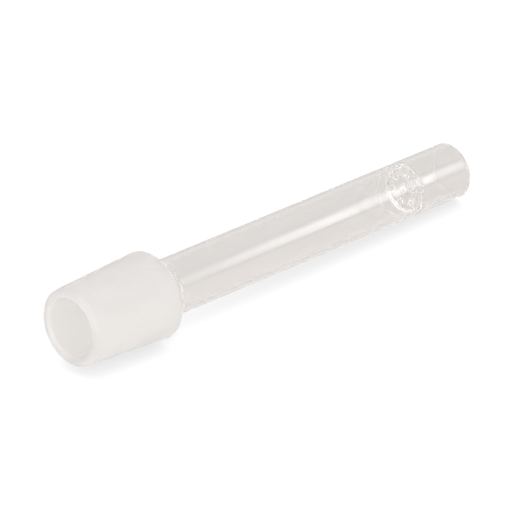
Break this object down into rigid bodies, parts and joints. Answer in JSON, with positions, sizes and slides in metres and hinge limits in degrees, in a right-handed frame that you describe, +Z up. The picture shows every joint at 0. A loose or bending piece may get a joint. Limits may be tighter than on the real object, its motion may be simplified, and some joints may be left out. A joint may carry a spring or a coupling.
{
  "type": "straight glass adapter tube",
  "caption": "Straight clear glass tube with a frosted ground taper joint at one end and a pierced glass disc sealed across its bore near the open end, for joining glassware.",
  "frame": {"origin": "on the tube's axis, in the gauge plane of the ground joint, where the ground cone is widest", "axes": "+X along the tube from the ground joint to the open outlet, +Z up; the part is round about X"},
  "size_m": [0.11, 0.0188, 0.0188],
  "materials": {
    "ground_glass": "fine ground, matt translucent white on the taper, fire-polished at the lip and shoulder",
    "clear_tube_glass": "clear, fire-polished borosilicate",
    "disc_glass": "clear, melted and slightly uneven"
  },
  "bodies": {
    "root": {"ground_joint": "ground_glass", "body_tube": "clear_tube_glass", "outlet_tube": "clear_tube_glass", "pierced_disc": "disc_glass"}
  },
  "joints": []
}
